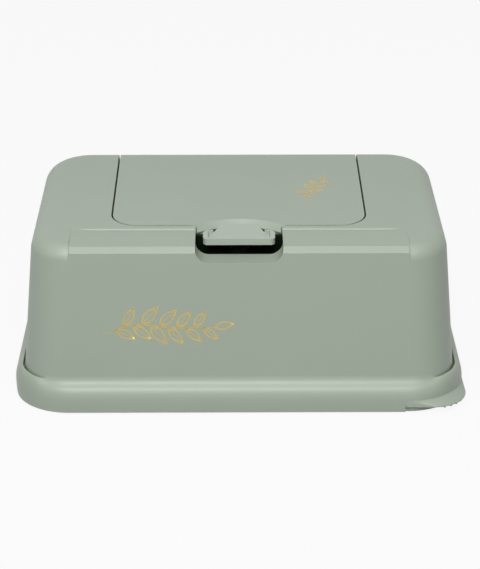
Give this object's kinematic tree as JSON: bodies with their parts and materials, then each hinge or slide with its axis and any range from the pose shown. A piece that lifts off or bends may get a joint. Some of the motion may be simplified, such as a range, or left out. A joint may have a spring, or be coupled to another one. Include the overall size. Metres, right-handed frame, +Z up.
{
  "type": "wipes dispenser",
  "caption": "Countertop wipes dispenser: a rounded box with a flared skirt, a hinged lid over a soft dispensing slot and a thumb tab in a finger scoop.",
  "frame": {"origin": "on the counter, at the middle of the overall box", "axes": "+X to the right of someone facing the thumb tab, +Y to the back with the hinge, +Z up"},
  "size_m": [0.256, 0.1595, 0.103],
  "materials": {
    "sage_shell": "satin moulded plastic in sage green",
    "sage_tab": "satin moulded plastic in pale sage green",
    "sage_inner": "matt moulded plastic in sage green",
    "black_insert": "matt moulded plastic in black",
    "silicone": "soft translucent silicone",
    "foot_rubber": "black rubber",
    "pin_steel": "ground steel",
    "screw_steel": "bright zinc-plated steel"
  },
  "bodies": {
    "tray": {"base_tray": "sage_shell", "tray_feet": "foot_rubber", "tray_seal": "silicone"},
    "cover": {"housing": "sage_shell", "base_skirt": "sage_shell", "scoop_cup": "black_insert", "deck": "sage_inner", "deck_screws": "screw_steel", "orifice": "silicone", "orifice_ring": "sage_inner", "latch_keeper": "black_insert", "lid_bumpers": "silicone", "hinge_pins": "pin_steel"},
    "lid": {"lid": "sage_shell", "lid_liner": "sage_inner", "lid_seal": "silicone", "lid_screws": "screw_steel", "latch_pin": "pin_steel", "latch_spring": "pin_steel"},
    "latch": {"latch_tab": "sage_tab", "latch_hook": "black_insert"}
  },
  "joints": [
    {"name": "housing_lift", "type": "slide", "parent": "tray", "child": "cover", "axis": [0, 0, 1], "range_m": [0, 0.12]},
    {"name": "lid_hinge", "type": "hinge", "parent": "cover", "child": "lid", "pos_m": [0, 0.05999, 0.091], "axis": [-1, 0, 0], "range_deg": [0, 105]},
    {"name": "latch_pivot", "type": "hinge", "parent": "lid", "child": "latch", "pos_m": [0, -0.04634, 0.09225], "axis": [-1, 0, 0], "range_deg": [0, 15], "stiffness_Nm_per_rad": 0.05, "springref_deg": -5.73}
  ]
}
